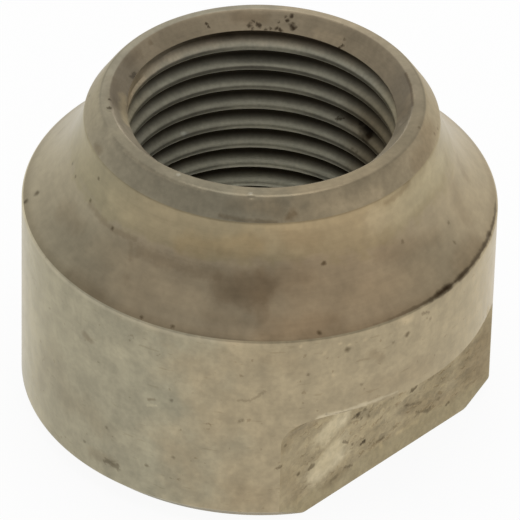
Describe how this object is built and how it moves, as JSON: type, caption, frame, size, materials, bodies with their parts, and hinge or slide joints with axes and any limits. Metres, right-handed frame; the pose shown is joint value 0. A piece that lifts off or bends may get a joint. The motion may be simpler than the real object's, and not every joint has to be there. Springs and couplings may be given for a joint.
{
  "type": "cone nut",
  "caption": "Turned steel hub cone nut: round body with spanner flats under a ledge, hollow conical ball race, bevelled rim and a fine inner thread.",
  "frame": {"origin": "centre of the flat base, on the thread axis", "axes": "+Z along the thread, from the base to the rim above the ball race; the spanner flats face -X and +X"},
  "size_m": [0.0195, 0.0196, 0.0146],
  "materials": {
    "turned_steel": "satin turned steel, bare, with stains, rust specks and small nicks"
  },
  "bodies": {
    "root": {"cone_nut": "turned_steel"}
  },
  "joints": []
}
